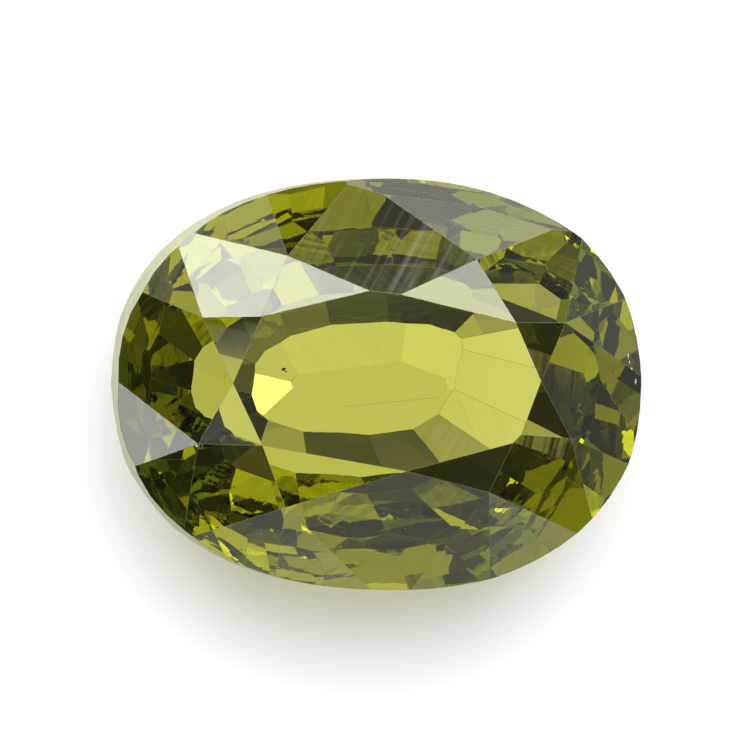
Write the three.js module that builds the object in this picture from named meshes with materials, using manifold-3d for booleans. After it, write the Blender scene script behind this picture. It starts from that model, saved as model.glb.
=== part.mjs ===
// Faceted alexandrite: an oval mixed cut with a brilliant crown and a step-cut pavilion, in millimetres.
// The stone is cut table up, with the crown's foot at height 0, and is then raised so that it rests on its
// culet, the small level facet that closes the keel, on the ground at height 0.
import * as THREE from 'three'
import { mergeVertices } from 'three/addons/utils/BufferGeometryUtils.js'
import Module from 'manifold-3d'

const wasm = await Module()
wasm.setup()

// Girdle outline: an oval a little squarer than an ellipse, with the slight unevenness of hand cutting,
// and its centre a little off the table's
const halfLength = 4.49
const halfWidth = 3.49
const squareness = 2.27
const unevenness = 0.02
const unevennessTurn = 180
const outlineCentre = new THREE.Vector2(0.09, -0.02)
const girdleThickness = 0.4
const girdleLean = 0.1
const girdleLeanDirection = 165
const girdleSides = 64

// Crown: the table's height, and the corners of one eighth after another, going round from the right end.
// corner is where a kite facet meets the table, with two points where the kite is cut short there.
// tip is the outer end of the star facet that follows, foot is the kite's lower end at the girdle, and
// meet is where the two upper-girdle facets under that star part at the girdle.
const tableHeight = 1.27
const crown = [
  { corner: [[2.62, 0.02]], tip: [3.07, 1.02, 1.02], foot: [4.43, 0.06], meet: [4.18, 1.43] },
  { corner: [[2.19, 1.01]], tip: [1.59, 2.09, 0.76], foot: [3.44, 2.55], meet: [1.61, 3.04] },
  { corner: [[0.06, 1.52], [-0.36, 1.53]], tip: [-1.67, 2.14, 0.98], foot: [-0.39, 3.48], meet: [-1.9, 3.2] },
  { corner: [[-2.15, 1.1]], tip: [-3.11, 1.09, 0.87], foot: [-3.48, 2.61], meet: [-4.2, 1.61] },
  { corner: [[-2.64, -0.03]], tip: [-3.19, -1.05, 0.91], foot: [-4.36, -0.03], meet: [-4.14, -1.41] },
  { corner: [[-2.14, -1.08]], tip: [-1.69, -2.12, 0.84], foot: [-3.31, -2.59], meet: [-1.75, -3.24] },
  { corner: [[0.33, -1.51]], tip: [1.76, -1.86, 1.05], foot: [0.21, -3.44], meet: [1.92, -3.31] },
  { corner: [[2.1, -1.04], [2.26, -0.94]], tip: [3.2, -0.94, 0.78], foot: [3.41, -2.36], meet: [4.2, -1.32] },
]

// Two slivers under the upper-girdle facets of the top right eighth, steeper than their neighbours
const sliverEighth = 1
const sliverDirections = [74.5, 79.5]
const sliverSlope = 50

// Pavilion rows from the girdle to the keel: facets in the row, slope of its facets from the girdle plane,
// how far inside the outline the row starts, and how far round the row is turned, in facets. The cutter's
// hand shows as a slope that wanders round the row by whole degrees: once round, along the stone and
// across it, then twice round, along it and across it.
const pavilion = [
  { facets: 20, slope: 59, inset: 0, turn: -0.6, wander: [2, 1, -1, 0] },
  { facets: 20, slope: 50, inset: 0, turn: 0.9, wander: [1, 2, -1, 2] },
  { facets: 20, slope: 48, inset: 0.7, turn: 1.6, wander: [-2, -2, 2, 2] },
  { facets: 20, slope: 33, inset: 1.3, turn: 1.4, wander: [1, 0, 0, 1] },
  { facets: 16, slope: 29, inset: 1.6, turn: -0.3, wander: [-4, 3, -2, 2] },
  { facets: 8, slope: 4, inset: 2.6, turn: 0.3, wander: [0, 0, 0, 0] },
]

// How far inside the outline the level culet starts
const culetInset = 3.2

const outlineSteps = 3600
const lapSize = 30
const roughAbove = 2
const roughBelow = 5

const radians = THREE.MathUtils.degToRad
const skyward = new THREE.Vector3(0, 0, 1)

// Point of the girdle outline at an angle about the table's normal
function outlinePoint(angle) {
  const along = Math.abs(Math.cos(angle)) / halfLength
  const across = Math.abs(Math.sin(angle)) / halfWidth
  const oval = (along ** squareness + across ** squareness) ** (-1 / squareness)
  const radius = oval + unevenness * Math.cos(3 * angle + radians(unevennessTurn))
  return outlineCentre.clone().add(new THREE.Vector2(radius * Math.cos(angle), radius * Math.sin(angle)))
}

// Tangent places equally spaced along the outline: the outward direction and the point there
function outlinePlaces(count, turn) {
  const points = []
  const lengths = [0]
  for (let i = 0; i <= outlineSteps; i++) {
    points.push(outlinePoint((2 * Math.PI * i) / outlineSteps))
    if (i > 0) {
      lengths.push(lengths[i - 1] + points[i].distanceTo(points[i - 1]))
    }
  }
  const whole = lengths[outlineSteps]
  const places = []
  for (let i = 0; i < count; i++) {
    const along = THREE.MathUtils.euclideanModulo((i + turn) / count, 1) * whole
    const next = Math.max(1, lengths.findIndex((length) => length >= along))
    const edge = points[next].clone().sub(points[next - 1])
    const share = (along - lengths[next - 1]) / (lengths[next] - lengths[next - 1])
    places.push({
      point: points[next - 1].clone().addScaledVector(edge, share),
      outward: new THREE.Vector2(edge.y, -edge.x).normalize(),
    })
  }
  return places
}

// Solid for cutting, from a closed three.js geometry
function solidFrom(geometry) {
  const bare = geometry.clone()
  bare.deleteAttribute('normal')
  bare.deleteAttribute('uv')
  const merged = mergeVertices(bare)
  const vertProperties = new Float32Array(merged.attributes.position.array)
  const triVerts = new Uint32Array(merged.index.array)
  return new wasm.Manifold(new wasm.Mesh({ numProp: 3, vertProperties, triVerts }))
}

// Flat-shaded geometry of a solid
function geometryFrom(solid) {
  const mesh = solid.getMesh()
  const geometry = new THREE.BufferGeometry()
  geometry.setAttribute('position', new THREE.BufferAttribute(new Float32Array(mesh.vertProperties), 3))
  geometry.setIndex(new THREE.BufferAttribute(new Uint32Array(mesh.triVerts), 1))
  const flat = geometry.toNonIndexed()
  flat.computeVertexNormals()
  return flat
}

// Grinds one flat facet: takes away everything beyond the plane
function grind(solid, plane) {
  const lap = new THREE.BoxGeometry(lapSize, lapSize, lapSize)
  lap.translate(0, 0, lapSize / 2)
  lap.applyQuaternion(new THREE.Quaternion().setFromUnitVectors(skyward, plane.normal))
  lap.translate(...plane.normal.clone().multiplyScalar(-plane.constant).toArray())
  return solid.subtract(solidFrom(lap))
}

// Plane through three points of the crown, facing up and out
function crownPlane(a, b, c) {
  const plane = new THREE.Plane().setFromCoplanarPoints(a, b, c)
  return plane.normal.z > 0 ? plane : plane.negate()
}

// Plane through a point that faces a direction and leans from level by the slope
function slopingPlane(direction, slope, point) {
  const normal = new THREE.Vector3(direction.x, direction.y, 0).multiplyScalar(Math.sin(radians(slope)))
  normal.z = Math.cos(radians(slope))
  return new THREE.Plane().setFromNormalAndCoplanarPoint(normal, point)
}

function crownPlanes() {
  const onTable = (corner) => new THREE.Vector3(corner[0], corner[1], tableHeight)
  const onGirdle = (point) => new THREE.Vector3(point[0], point[1], 0)
  const planes = [new THREE.Plane(skyward, -tableHeight)]
  crown.forEach((here, i) => {
    const before = crown[(i + crown.length - 1) % crown.length]
    const after = crown[(i + 1) % crown.length]
    const first = onTable(here.corner[0])
    const last = onTable(here.corner[here.corner.length - 1])
    const tip = new THREE.Vector3(...here.tip)
    const tipBefore = new THREE.Vector3(...before.tip)
    const meet = onGirdle(here.meet)
    planes.push(crownPlane(first.clone().lerp(last, 0.5), tipBefore, tip))
    planes.push(crownPlane(last, onTable(after.corner[0]), tip))
    planes.push(crownPlane(tip, onGirdle(here.foot), meet))
    planes.push(crownPlane(tip, meet, onGirdle(after.foot)))
  })
  const sliverPoint = onGirdle(crown[sliverEighth].meet)
  for (const direction of sliverDirections) {
    const outward = new THREE.Vector2(Math.cos(radians(direction)), Math.sin(radians(direction)))
    planes.push(slopingPlane(outward, sliverSlope, sliverPoint))
  }
  return planes
}

// Shift of the girdle's lower edge against its upper one: the band leans out a little to one side
const lean = new THREE.Vector2(Math.cos(radians(girdleLeanDirection)), Math.sin(radians(girdleLeanDirection)))
lean.multiplyScalar(girdleLean)

// Slope of a row's facet that faces a direction
function wanderingSlope(row, outward) {
  const angle = outward.angle()
  const [along, across, twiceAlong, twiceAcross] = row.wander
  const once = along * Math.cos(angle) + across * Math.sin(angle)
  const twice = twiceAlong * Math.cos(2 * angle) + twiceAcross * Math.sin(2 * angle)
  return row.slope + once + twice
}

function pavilionPlanes() {
  const planes = []
  let depth = girdleThickness
  pavilion.forEach((row, r) => {
    for (const { point, outward } of outlinePlaces(row.facets, row.turn)) {
      const start = point.clone().add(lean).addScaledVector(outward, -row.inset)
      const slope = wanderingSlope(row, outward)
      planes.push(slopingPlane(outward, 180 - slope, new THREE.Vector3(start.x, start.y, -depth)))
    }
    const nextInset = r + 1 < pavilion.length ? pavilion[r + 1].inset : culetInset
    depth += (nextInset - row.inset) * Math.tan(radians(row.slope))
  })
  planes.push(new THREE.Plane(skyward.clone().negate(), -depth))
  return planes
}

// The rough: a prism over the outline that leans with the girdle, from below the keel to above the table
function roughPrism() {
  const outline = outlinePlaces(girdleSides, 0).map((place) => place.point)
  const height = roughAbove + roughBelow
  const prism = new THREE.ExtrudeGeometry(new THREE.Shape(outline), { depth: height, bevelEnabled: false })
  prism.translate(0, 0, -roughBelow)
  const slideX = -lean.x / girdleThickness
  const slideY = -lean.y / girdleThickness
  prism.applyMatrix4(new THREE.Matrix4().set(1, 0, slideX, 0, 0, 1, slideY, 0, 0, 0, 1, 0, 0, 0, 0, 1))
  return solidFrom(prism)
}

let stone = roughPrism()
for (const plane of [...crownPlanes(), ...pavilionPlanes()]) {
  stone = grind(stone, plane)
}

const gemstone = new THREE.Mesh(
  geometryFrom(stone),
  new THREE.MeshStandardMaterial({ color: 0x8f9036, roughness: 0.03, metalness: 0 })
)
gemstone.name = 'gemstone'

// Stands the stone on its culet, centred over the origin
const box = new THREE.Box3().setFromObject(gemstone, true)
const middle = box.getCenter(new THREE.Vector3())
gemstone.position.set(-middle.x, -middle.y, -box.min.z)

const group = new THREE.Group()
group.add(gemstone)

export default group
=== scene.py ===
"""A loose oval alexandrite lying on a pale sheet under soft studio light.

The stone's form comes from the frame. This file gives it worn facet edges, fine polishing lines, a frosted
girdle, its clear olive colour, the few small things enclosed in it, and its light.
"""

import math

import bmesh
import bpy
import numpy as np
from bpy.props import FloatProperty, FloatVectorProperty, IntProperty, PointerProperty
from mathutils import Matrix


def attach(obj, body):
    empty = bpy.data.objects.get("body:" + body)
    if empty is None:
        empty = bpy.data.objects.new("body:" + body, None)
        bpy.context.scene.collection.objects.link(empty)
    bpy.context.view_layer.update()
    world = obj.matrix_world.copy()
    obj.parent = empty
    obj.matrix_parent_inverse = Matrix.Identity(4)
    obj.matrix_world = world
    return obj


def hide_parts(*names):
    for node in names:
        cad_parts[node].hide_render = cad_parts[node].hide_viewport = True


bl_info = {
    "name": "Alexandrite",
    "version": (1, 0, 0),
    "blender": (4, 5, 0),
    "location": "View3D > Sidebar > Alexandrite",
    "description": "Dresses a faceted alexandrite and its stage",
    "category": "Object",
}

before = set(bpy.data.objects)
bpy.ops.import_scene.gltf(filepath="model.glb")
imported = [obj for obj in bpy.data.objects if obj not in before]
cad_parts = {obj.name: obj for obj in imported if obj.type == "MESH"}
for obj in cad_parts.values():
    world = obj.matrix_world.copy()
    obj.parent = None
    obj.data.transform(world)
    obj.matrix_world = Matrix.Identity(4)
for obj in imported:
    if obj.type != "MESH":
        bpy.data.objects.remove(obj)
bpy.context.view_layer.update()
MM = 0.001

# Soft lights round the stone: azimuth and elevation in degrees as the stone sees them (azimuth
# 0 is straight ahead of it, along -Y, and grows towards +X), half width in degrees, and strength. The first
# list is what the outside of the stone mirrors, the second what shines through it, and the third what
# falls on the sheet and the frosted girdle.
MIRRORED_LIGHTS = (
    (-145, 25, 8, 7.6),
    (180, 50, 8, 6.8),
    (160, 26, 6, 4.5),
    (-80, 13, 8, 3.8),
    (160, 5, 6, 1.9),
    (162, -12, 8, 1.5),
    (-167, 5, 7, 0.9),
    (-130, 23, 5, 0.6),
    (-120, 44, 5, 0.6),
    (-60, 52, 6, 0.6),
    (-16, 17, 5, 0.7),
    (5, 18, 8, 0.6),
    (7, 15, 5, 0.5),
    (40, 9, 6, 0.9),
    (60, 10, 5, 0.3),
    (88, 8, 6, 0.3),
    (115, 0, 15, 0.6),
    (160, 15, 15, 0.25),
    (100, 82, 10, 0.2),
)
SHINING_LIGHTS = (
    (115, -75, 17, 0.72),
    (102, -78, 2, 1.4),
    (-110, -75, 10, 0.5),
    (-30, -75, 15, 0.4),
    (100, 50, 15, 0.7),
    (-40, -10, 35, 0.5),
    (155, 15, 25, 0.7),
    (-75, 30, 20, 0.35),
    (180, 70, 15, 0.4),
    (55, 75, 10, 0.35),
    (0, 30, 15, 2.6),
    (45, -15, 35, 0.2),
    (-50, 10, 15, 1.5),
    (95, -46, 9, 0.6),
    (-160, -10, 10, 0.7),
    (-140, 25, 10, 0.65),
    (155, -45, 10, 0.35),
    (-125, -50, 8, 0.5),
)
ROOM_LIGHTS = ((180, 50, 30, 2.7),)
MIRRORED_TINT = (1.0, 1.03, 0.97)
SHINING_TINT = (1.02, 1.0, 0.84)
ROOM_TINT = (1.0, 1.0, 1.0)

# Even light between the soft ones, and how far out a soft light fades, in half widths
MIRRORED_GROUND = 0.05
SHINING_GROUND = 0.03
FADE_OUT = 1.35

# How many times a ray may bend or be mirrored on its way through the stone
LIGHT_BOUNCES = 32

# Pale sheet, and a painted pool of yellow light on it, where the stone's light would fall: the pool's edge
# is scaled to a length of 1, then its centre is moved to the start. The pool is deepest within the core, as a
# share of its reach.
SHEET_COLOUR = (0.9, 0.9, 0.9, 1.0)
SHEET_ROUGHNESS = 0.8
PAINTED_LIGHT_COLOUR = (0.9, 0.89, 0.58, 1.0)
PAINTED_LIGHT_SCALE = (1 / (3.75 * MM), 1 / (1.8 * MM), 0.0)
PAINTED_LIGHT_SHIFT = (-0.04, 1.33, 0.0)
PAINTED_LIGHT_CORE = 0.4
PAINTED_LIGHT_DEPTH = 0.9

# The stone's mesh: points nearer than the first are one point, and faces that meet at less than the
# second are one facet. Facets that meet at more than the third have a worn edge between them.
WELD_DISTANCE = 0.0005 * MM
FLAT_ANGLE = math.radians(0.2)
WORN_ANGLE = math.radians(4)

# A face is part of the girdle where its normal has less than this along the table's normal
GIRDLE_LIMIT = 0.42

# Fine lines: how often the noise changes in a millimetre along a lap's direction and across it, and how
# far the girdle's lines lean from its faces
POLISH_GRAIN = (0.3, 9.0)
GIRDLE_GRAIN = (0.4, 14.0)
GIRDLE_TILT = 0.5

# Widest random start of a facet's map, in millimetres
FACET_START = 50

# Frosted girdle and worn edges: colour, and the share of the light that goes in
GIRDLE_COLOUR = (0.68, 0.68, 0.48, 1.0)
GIRDLE_CLEARNESS = 0.2
WORN_COLOUR = (0.5, 0.52, 0.34, 1.0)
WORN_CLEARNESS = 0.75

# Grains of the small things per metre, and how far two waves swell them
GRAINS = 90000.0
SWELL_ROUND = 0.16
SWELL_ALONG = 0.12

# Width of the film, in millimetres
FILM_WIDTH = 36

# Small things in the stone, in millimetres from the middle of the crown's foot: place, then half sizes
CROWN_FOOT = np.array([-0.0080, 0.0047, 2.6917])
DARK_SPECKS = (
    ((-1.72, 0.22, 0.5), (0.036, 0.026, 0.03)),
    ((-1.68, 0.18, 0.46), (0.02, 0.012, 0.02)),
)
PALE_PINPOINTS = (
    ((-2.0, -2.47, 0.14), (0.012, 0.012, 0.01)),
    ((-1.74, -2.46, -0.02), (0.012, 0.009, 0.01)),
    ((-1.41, -2.47, 0.14), (0.006, 0.1, 0.01)),
    ((-3.69, 1.99, -0.21), (0.015, 0.012, 0.012)),
    ((3.75, 0.5, 0.05), (0.016, 0.014, 0.012)),
    ((0.42, -2.34, 0.16), (0.012, 0.01, 0.01)),
    ((1.67, -2.24, 0.33), (0.012, 0.014, 0.01)),
    ((-0.24, -1.57, 0.56), (0.02, 0.008, 0.01)),
)
CHIPS = (
    ((-3.2, -1.08, 0.87), (0.03, 0.025, 0.018)),
    ((-3.16, -1.05, 0.88), (0.02, 0.015, 0.014)),
    ((4.28, 0.47, 0.06), (0.012, 0.05, 0.02)),
    ((4.3, 0.37, 0.07), (0.01, 0.03, 0.015)),
    ((4.34, 0.26, 0.06), (0.012, 0.022, 0.014)),
    ((4.42, 0.04, -0.02), (0.014, 0.05, 0.02)),
)


class StoneSettings(bpy.types.PropertyGroup):
    """Sizes, colours and finish of the stone."""

    ior: FloatProperty(
        name="Refractive index", description="Mean refractive index of chrysoberyl", default=1.745
    )
    body_colour: FloatVectorProperty(
        name="Body colour",
        description="Tint that the stone leaves in the light, at the body depth",
        default=(0.852, 0.861, 0.0),
        size=3,
        subtype="COLOR",
    )
    body_depth: FloatProperty(
        name="Body depth", description="How quickly the tint deepens, per metre", default=500.0
    )
    edge_wear: FloatProperty(
        name="Edge wear", description="Width of the worn facet edges", default=0.003 * MM, unit="LENGTH"
    )
    edge_roughness: FloatProperty(
        name="Edge roughness", description="Roughness of the worn edges", default=0.25, subtype="FACTOR"
    )
    line_tilt: FloatProperty(
        name="Polishing lines",
        description="How far the fine lines left by polishing lean from their facet",
        default=0.009,
        subtype="ANGLE",
    )
    girdle_roughness: FloatProperty(
        name="Girdle roughness", description="Roughness of the frosted girdle", default=0.35, subtype="FACTOR"
    )
    seed: IntProperty(name="Seed", description="Start of the stone's small accidents", default=7)


class StageSettings(bpy.types.PropertyGroup):
    """Camera, floor and light."""

    azimuth: FloatProperty(
        name="Camera azimuth",
        description="Turn of the camera round the stone, from straight ahead towards +X",
        default=math.radians(-80.96),
        subtype="ANGLE",
    )
    elevation: FloatProperty(
        name="Camera elevation",
        description="Angle above the floor",
        default=math.radians(82.41),
        subtype="ANGLE",
    )
    roll: FloatProperty(
        name="Camera roll",
        description="Turn of the camera about its own axis",
        default=math.radians(81.04),
        subtype="ANGLE",
    )
    aim: FloatVectorProperty(
        name="Aim",
        description="Point of the stone in the middle of the view",
        default=(-0.0589 * MM, 0.1490 * MM, 2.6880 * MM),
        size=3,
        subtype="TRANSLATION",
    )
    distance: FloatProperty(
        name="Camera distance", description="From the lens to the stone", default=0.4, unit="LENGTH"
    )
    view_width: FloatProperty(
        name="View width",
        description="Width that the view takes in at the stone",
        default=12.733 * MM,
        unit="LENGTH",
    )
    floor_side: FloatProperty(
        name="Floor side", description="Side of the pale sheet", default=1.2, unit="LENGTH"
    )
    floor_gap: FloatProperty(
        name="Floor gap",
        description="Air left between the stone's lowest facet and the sheet",
        default=0.01 * MM,
        unit="LENGTH",
    )
    room_light: FloatProperty(
        name="Room light", description="Strength of the even light on the sheet", default=0.84
    )


class Socket:
    """A shader value that Python operators can reckon with."""

    def __init__(self, tree, link):
        self.tree = tree
        self.link = link

    def maths(self, operation, first, second):
        return Nodes(self.tree).add("ShaderNodeMath", {"operation": operation}, [first, second])

    def __add__(self, other):
        return self.maths("ADD", self, other)

    def __radd__(self, other):
        return self.maths("ADD", other, self)

    def __sub__(self, other):
        return self.maths("SUBTRACT", self, other)

    def __rsub__(self, other):
        return self.maths("SUBTRACT", other, self)

    def __mul__(self, other):
        return self.maths("MULTIPLY", self, other)

    def __rmul__(self, other):
        return self.maths("MULTIPLY", other, self)


class Nodes:
    """Adds nodes to a shader tree."""

    def __init__(self, tree):
        self.tree = tree

    def add(self, kind, settings=None, inputs=None, output=0):
        """A node of a kind, its settings, then the values or links of its sockets; gives one output."""
        node = self.tree.nodes.new(kind)
        for name, value in (settings or {}).items():
            setattr(node, name, value)
        items = inputs.items() if isinstance(inputs, dict) else enumerate(inputs or [])
        for key, value in items:
            if isinstance(value, Socket):
                self.tree.links.new(value.link, node.inputs[key])
            else:
                node.inputs[key].default_value = value
        return Socket(self.tree, node.outputs[output]) if node.outputs else None

    def vector(self, operation, *vectors):
        return self.add("ShaderNodeVectorMath", {"operation": operation}, vectors)


def material_named(name):
    material = bpy.data.materials.new(name)
    material.use_nodes = True
    material.node_tree.nodes.clear()
    return material, Nodes(material.node_tree)


def polishing_lines(nodes, tilt, grain):
    """Facet normal rocked about its lap's direction by noise that is drawn out along that direction."""
    place = nodes.add("ShaderNodeUVMap", {"uv_map": "facet"})
    drawn = nodes.add("ShaderNodeMapping", inputs={"Vector": place, "Scale": (*grain, 1.0)})
    line = nodes.add("ShaderNodeTexNoise", inputs={"Vector": drawn, "Scale": 1.0, "Detail": 1.0})
    facet = nodes.add("ShaderNodeNewGeometry", output="Normal")
    lap = nodes.add("ShaderNodeTangent", {"direction_type": "UV_MAP", "uv_map": "facet"})
    side = nodes.vector("CROSS_PRODUCT", facet, lap)
    rocked = nodes.add(
        "ShaderNodeVectorMath", {"operation": "SCALE"}, {0: side, "Scale": (line - 0.5) * (2 * tilt)}
    )
    return nodes.vector("NORMALIZE", nodes.vector("ADD", facet, rocked))


def chrysoberyl(name, settings, surface):
    """Clear crystal: refraction at the surface, and the colour soaked up in its depth."""
    material, nodes = material_named(name)
    inputs = {
        "Base Color": (1.0, 1.0, 1.0, 1.0),
        "Roughness": 0.0,
        "IOR": settings.ior,
        "Transmission Weight": 1.0,
    }
    inputs.update(surface(nodes))
    skin = nodes.add("ShaderNodeBsdfPrincipled", inputs=inputs)
    tint = (*settings.body_colour, 1.0)
    body = nodes.add("ShaderNodeVolumeAbsorption", inputs={"Color": tint, "Density": settings.body_depth})
    nodes.add("ShaderNodeOutputMaterial", inputs={"Surface": skin, "Volume": body})
    return material


def pale_sheet():
    """White card with a painted pool of soft yellow light beside the stone, standing in for the light that
    comes through it.
    """
    material, nodes = material_named("pale sheet")
    place = nodes.add("ShaderNodeTexCoord", output="Object")
    pool = nodes.add(
        "ShaderNodeMapping", inputs={"Vector": place, "Location": PAINTED_LIGHT_SHIFT, "Scale": PAINTED_LIGHT_SCALE}
    )
    reach = nodes.add("ShaderNodeVectorMath", {"operation": "LENGTH"}, [pool], output="Value")
    glow = nodes.add(
        "ShaderNodeMapRange",
        {"interpolation_type": "SMOOTHSTEP"},
        {"Value": reach, "From Min": 1.0, "From Max": PAINTED_LIGHT_CORE, "To Max": PAINTED_LIGHT_DEPTH},
    )
    # Painted light: the sheet's colour turns yellow towards the pool's core
    colour = nodes.add(
        "ShaderNodeMix",
        {"data_type": "RGBA"},
        {"Factor": glow, "A": SHEET_COLOUR, "B": PAINTED_LIGHT_COLOUR},
        "Result",
    )
    inputs = {"Base Color": colour, "Roughness": SHEET_ROUGHNESS}
    surface = nodes.add("ShaderNodeBsdfPrincipled", inputs=inputs)
    nodes.add("ShaderNodeOutputMaterial", inputs={"Surface": surface})
    return material


def linked(context, name, mesh):
    piece = bpy.data.objects.new(name, mesh)
    context.scene.collection.objects.link(piece)
    return piece


def whole_facets(source):
    """Copy of a mesh of loose triangles, joined, with every flat facet made one face."""
    stone = bmesh.new()
    stone.from_mesh(source)
    bmesh.ops.remove_doubles(stone, verts=stone.verts, dist=WELD_DISTANCE)
    bmesh.ops.dissolve_limit(
        stone,
        angle_limit=FLAT_ANGLE,
        verts=stone.verts,
        edges=stone.edges,
        use_dissolve_boundaries=False,
    )
    mesh = bpy.data.meshes.new("polished_stone")
    stone.to_mesh(mesh)
    stone.free()
    return mesh


def facet_arrays(mesh):
    """Areas and unit normals of a mesh's faces, as arrays."""
    count = len(mesh.polygons)
    areas = np.empty(count)
    normals = np.empty(count * 3)
    mesh.polygons.foreach_get("area", areas)
    mesh.polygons.foreach_get("normal", normals)
    return areas, normals.reshape(-1, 3)


def add_facet_map(mesh, normals, table_normal, girdle, seed):
    """UV map in millimetres of each facet's own plane: u runs along the lap that polished the facet, at a
    random turn, or round the stone on the girdle; v runs across it. A random start keeps facets apart."""
    dice = np.random.default_rng(seed)
    level = np.cross(table_normal, normals)
    level[np.linalg.norm(level, axis=1) < 1e-6] = (1.0, 0.0, 0.0)
    level /= np.linalg.norm(level, axis=1)[:, None]
    rise = np.cross(normals, level)
    turn = np.where(girdle, 0.0, dice.uniform(0, math.pi, len(normals)))[:, None]
    along = np.cos(turn) * level + np.sin(turn) * rise
    across = np.cross(normals, along)
    start = dice.uniform(0, FACET_START, (len(normals), 2))
    sizes = np.empty(len(mesh.polygons), dtype=int)
    mesh.polygons.foreach_get("loop_total", sizes)
    face = np.repeat(np.arange(len(sizes)), sizes)
    corner = np.empty(len(mesh.loops), dtype=int)
    mesh.loops.foreach_get("vertex_index", corner)
    points = np.empty(len(mesh.vertices) * 3)
    mesh.vertices.foreach_get("co", points)
    points = points.reshape(-1, 3)[corner] / MM
    u = (points * along[face]).sum(1) + start[face, 0]
    v = (points * across[face]).sum(1) + start[face, 1]
    layer = mesh.uv_layers.new(name="facet")
    layer.data.foreach_set("uv", np.column_stack([u, v]).ravel())


def add_edge_wear(mesh, normals, girdle):
    """Bevel weight of 1 on the edges between facets that meet at more than the worn angle, except where
    two sides of the girdle meet."""
    sizes = np.empty(len(mesh.polygons), dtype=int)
    mesh.polygons.foreach_get("loop_total", sizes)
    edge = np.empty(len(mesh.loops), dtype=int)
    mesh.loops.foreach_get("edge_index", edge)
    face = np.repeat(np.arange(len(sizes)), sizes)
    pair = face[np.argsort(edge, kind="stable")].reshape(-1, 2)
    meeting = (normals[pair[:, 0]] * normals[pair[:, 1]]).sum(1)
    worn = (meeting < math.cos(WORN_ANGLE)) & ~(girdle[pair[:, 0]] & girdle[pair[:, 1]])
    weight = mesh.attributes.new("bevel_weight_edge", "FLOAT", "EDGE")
    weight.data.foreach_set("value", worn.astype(np.float32))


class OBJECT_OT_alexandrite_stone(bpy.types.Operator):
    """Makes the polished stone from the frame's solid"""

    bl_idname = "object.alexandrite_stone"
    bl_label = "Polished stone"

    def execute(self, context):
        settings = context.scene.alexandrite_stone
        mesh = whole_facets(bpy.data.objects["gemstone"].data)
        areas, normals = facet_arrays(mesh)
        table_normal = normals[areas.argmax()]
        girdle = np.abs(normals @ table_normal) < GIRDLE_LIMIT
        add_facet_map(mesh, normals, table_normal, girdle, settings.seed)
        polished = chrysoberyl(
            "alexandrite",
            settings,
            lambda nodes: {"Normal": polishing_lines(nodes, settings.line_tilt, POLISH_GRAIN)},
        )
        frosted = chrysoberyl(
            "frosted girdle",
            settings,
            lambda nodes: {
                "Base Color": GIRDLE_COLOUR,
                "Roughness": settings.girdle_roughness,
                "Transmission Weight": GIRDLE_CLEARNESS,
                "Normal": polishing_lines(nodes, GIRDLE_TILT, GIRDLE_GRAIN),
            },
        )
        worn = chrysoberyl(
            "worn edges",
            settings,
            lambda nodes: {
                "Base Color": WORN_COLOUR,
                "Roughness": settings.edge_roughness,
                "Transmission Weight": WORN_CLEARNESS,
            },
        )
        for material in (polished, frosted, worn):
            mesh.materials.append(material)
        mesh.polygons.foreach_set("material_index", girdle.astype(np.int32))
        add_edge_wear(mesh, normals, girdle)
        stone = linked(context, "stone", mesh)
        wear = stone.modifiers.new("worn edges", "BEVEL")
        wear.width = settings.edge_wear
        wear.segments = 1
        wear.limit_method = "WEIGHT"
        wear.use_clamp_overlap = False
        wear.material = 2
        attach(stone, "root")
        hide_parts("gemstone")
        return {"FINISHED"}


def lumpy_body(centre, sizes, dice, around=14, rings=8):
    """Closed pebble on a grid of spokes and rings: the unit sphere's point at each pair of angles, swollen
    or drawn in by two waves that run round and along it, stretched by the half sizes."""
    spoke = 2 * math.pi * np.arange(around) / around
    rise = math.pi * np.arange(1, rings) / rings
    turn, wave = dice.uniform(0, 2 * math.pi, 2)
    swell = 1 + SWELL_ROUND * np.cos(3 * spoke[None] + turn)
    swell = swell + SWELL_ALONG * np.cos(2 * spoke[None] + 3 * rise[:, None] + wave)
    level = np.sin(rise)[:, None] * swell
    grid = np.stack([level * np.cos(spoke), level * np.sin(spoke), np.cos(rise)[:, None] * swell], -1)
    points = np.vstack([grid.reshape(-1, 3), [[0, 0, 1], [0, 0, -1]]]) * sizes + centre
    here = np.arange((rings - 2) * around).reshape(rings - 2, around)
    beside = np.roll(here, -1, axis=1)
    walls = np.stack([here, here + around, beside + around, beside], -1).reshape(-1, 4)
    ring = np.arange(around)
    after = np.roll(ring, -1)
    last = (rings - 2) * around
    top = np.full(around, len(points) - 2)
    caps = np.vstack([np.stack([top, ring, after], -1), np.stack([top + 1, last + after, last + ring], -1)])
    return points, walls, caps


def pebbles(name, bodies, seed):
    """One mesh of many lumpy bodies."""
    dice = np.random.default_rng(seed)
    points, faces, start = [], [], 0
    for place, sizes in bodies:
        body, walls, caps = lumpy_body(CROWN_FOOT + place, sizes, dice)
        points.append(body * MM)
        faces += (walls + start).tolist() + (caps + start).tolist()
        start += len(body)
    mesh = bpy.data.meshes.new(name)
    mesh.from_pydata(np.vstack(points), [], faces)
    mesh.polygons.foreach_set("use_smooth", np.ones(len(faces), dtype=bool))
    return mesh


def mottled(name, dark, pale, roughness, transmission):
    """Small enclosed thing: its colour goes from dark to pale by noise, grains a hundredth of a mm wide."""
    material, nodes = material_named(name)
    place = nodes.add("ShaderNodeTexCoord", output="Object")
    grain = nodes.add("ShaderNodeTexNoise", inputs={"Vector": place, "Scale": GRAINS, "Detail": 2.0})
    colour = nodes.add(
        "ShaderNodeMix",
        {"data_type": "RGBA"},
        {"Factor": grain, "A": (*dark, 1.0), "B": (*pale, 1.0)},
        "Result",
    )
    inputs = {"Base Color": colour, "Roughness": roughness, "Transmission Weight": transmission}
    skin = nodes.add("ShaderNodeBsdfPrincipled", inputs=inputs)
    nodes.add("ShaderNodeOutputMaterial", inputs={"Surface": skin})
    return material


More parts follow.
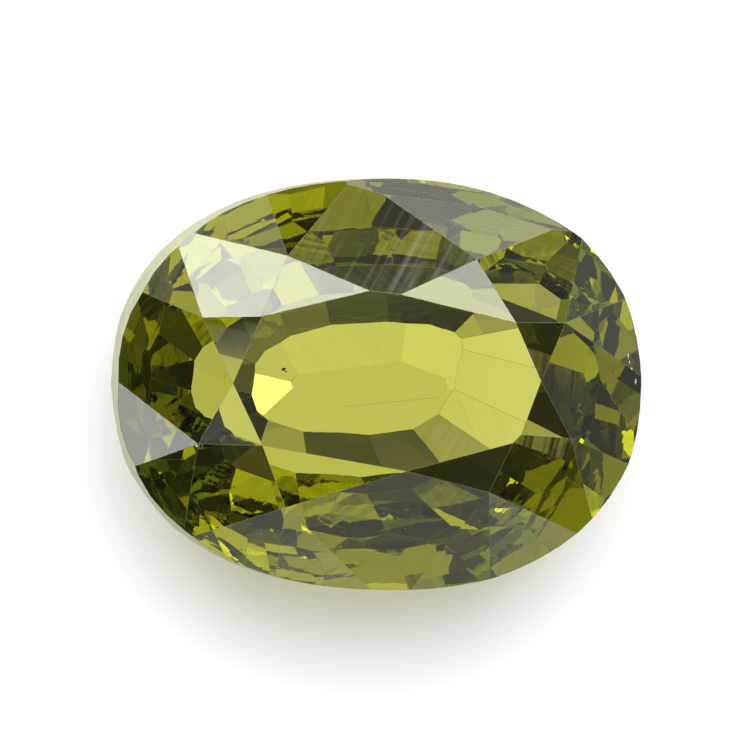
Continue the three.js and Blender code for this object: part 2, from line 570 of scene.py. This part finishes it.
class OBJECT_OT_alexandrite_enclosures(bpy.types.Operator):
    """Makes the specks, pinpoints and chips"""

    bl_idname = "object.alexandrite_enclosures"
    bl_label = "Specks, pinpoints and chips"

    def execute(self, context):
        seed = context.scene.alexandrite_stone.seed
        dark = mottled("dark speck", (0.02, 0.018, 0.004), (0.07, 0.06, 0.02), 0.6, 0.0)
        pale = mottled("pale pinpoint", (0.6, 0.6, 0.45), (0.95, 0.95, 0.8), 0.4, 0.0)
        crushed = mottled("crushed crystal", (0.5, 0.5, 0.42), (0.95, 0.95, 0.88), 0.5, 0.3)
        groups = (
            ("dark_specks", DARK_SPECKS, dark),
            ("pale_pinpoints", PALE_PINPOINTS, pale),
            ("chips", CHIPS, crushed),
        )
        for step, (name, bodies, material) in enumerate(groups):
            mesh = pebbles(name, bodies, seed + step)
            mesh.materials.append(material)
            piece = linked(context, name, mesh)
            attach(piece, "root")
        return {"FINISHED"}


def direction(azimuth, elevation):
    """Unit vector at an azimuth from -Y towards +X and an elevation, in radians."""
    level = math.cos(elevation)
    return np.array([math.sin(azimuth) * level, -math.cos(azimuth) * level, math.sin(elevation)])


def light_of(nodes, ray, lights, ground):
    """Light by direction: an even ground plus each soft light, a smooth step of the angle to it."""
    total = ground
    for azimuth, elevation, half, strength in lights:
        way = direction(math.radians(azimuth), math.radians(elevation))
        facing = nodes.add(
            "ShaderNodeVectorMath", {"operation": "DOT_PRODUCT"}, [ray, tuple(way)], output="Value"
        )
        glow = nodes.add(
            "ShaderNodeMapRange",
            {"interpolation_type": "SMOOTHSTEP"},
            {
                "Value": facing,
                "From Min": math.cos(math.radians(FADE_OUT * half)),
                "From Max": math.cos(math.radians(half)),
            },
        )
        total = total + strength * glow
    return total


class OBJECT_OT_alexandrite_stage(bpy.types.Operator):
    """Makes the floor, the light and the camera"""

    bl_idname = "object.alexandrite_stage"
    bl_label = "Stage"

    def execute(self, context):
        settings = context.scene.alexandrite_stage
        self.add_floor(context, settings)
        self.add_light(context, settings)
        self.add_camera(context, settings)
        context.scene.view_settings.view_transform = "Standard"
        context.scene.cycles.max_bounces = LIGHT_BOUNCES
        context.scene.cycles.glossy_bounces = LIGHT_BOUNCES
        context.scene.cycles.transmission_bounces = LIGHT_BOUNCES
        return {"FINISHED"}

    def add_floor(self, context, settings):
        half = settings.floor_side / 2
        low = -settings.floor_gap
        mesh = bpy.data.meshes.new("floor")
        corners = [(-half, -half, low), (half, -half, low), (half, half, low), (-half, half, low)]
        mesh.from_pydata(corners, [], [(0, 1, 2, 3)])
        mesh.materials.append(pale_sheet())
        floor = linked(context, "floor", mesh)
        floor.visible_glossy = False
        floor.visible_transmission = False

    def add_light(self, context, settings):
        """Even light on the sheet, and soft patches for what the stone mirrors and lets through."""
        world = bpy.data.worlds.new("studio")
        world.use_nodes = True
        world.node_tree.nodes.clear()
        nodes = Nodes(world.node_tree)
        ray = nodes.add("ShaderNodeTexCoord", output="Generated")
        through = nodes.add("ShaderNodeLightPath", output="Is Transmission Ray")
        mirrored = nodes.add("ShaderNodeLightPath", output="Is Glossy Ray") * (1 - through)
        seen = nodes.add("ShaderNodeLightPath", output="Is Camera Ray")
        light = seen
        for kind, lights, ground, tint in (
            (through, SHINING_LIGHTS, SHINING_GROUND, SHINING_TINT),
            (mirrored, MIRRORED_LIGHTS, MIRRORED_GROUND, MIRRORED_TINT),
            (1 - through - mirrored - seen, ROOM_LIGHTS, settings.room_light, ROOM_TINT),
        ):
            patches = kind * light_of(nodes, ray, lights, ground)
            light = nodes.vector("MULTIPLY_ADD", patches, tint, light)
        light = nodes.add("ShaderNodeBackground", inputs={"Color": light, "Strength": 1.0})
        nodes.add("ShaderNodeOutputWorld", inputs={"Surface": light})
        context.scene.world = world

    def add_camera(self, context, settings):
        lens = bpy.data.cameras.new("camera")
        lens.sensor_width = FILM_WIDTH
        lens.lens = FILM_WIDTH * settings.distance / settings.view_width
        camera = bpy.data.objects.new("camera", lens)
        context.scene.collection.objects.link(camera)
        back = direction(settings.azimuth, settings.elevation)
        level = np.cross([0, 0, 1], back)
        level /= np.linalg.norm(level)
        rise = np.cross(back, level)
        cosine, sine = math.cos(settings.roll), math.sin(settings.roll)
        right, up = cosine * level + sine * rise, cosine * rise - sine * level
        place = np.array(settings.aim) + back * settings.distance
        camera.matrix_world = Matrix([*np.column_stack([right, up, back, place]), [0, 0, 0, 1]])
        context.scene.camera = camera


class VIEW3D_PT_alexandrite(bpy.types.Panel):
    """Lists the stone and its stage"""

    bl_label = "Alexandrite"
    bl_space_type = "VIEW_3D"
    bl_region_type = "UI"
    bl_category = "Alexandrite"

    def draw(self, context):
        for operator in OPERATORS:
            self.layout.operator(operator.bl_idname)


OPERATORS = (OBJECT_OT_alexandrite_stone, OBJECT_OT_alexandrite_enclosures, OBJECT_OT_alexandrite_stage)
CLASSES = (StoneSettings, StageSettings, *OPERATORS, VIEW3D_PT_alexandrite)


def register():
    for cls in CLASSES:
        bpy.utils.register_class(cls)
    bpy.types.Scene.alexandrite_stone = PointerProperty(type=StoneSettings)
    bpy.types.Scene.alexandrite_stage = PointerProperty(type=StageSettings)


def unregister():
    del bpy.types.Scene.alexandrite_stage
    del bpy.types.Scene.alexandrite_stone
    for cls in reversed(CLASSES):
        bpy.utils.unregister_class(cls)


def main():
    register()
    bpy.ops.object.alexandrite_stone()
    bpy.ops.object.alexandrite_enclosures()
    bpy.ops.object.alexandrite_stage()


if __name__ == "__main__":
    main()
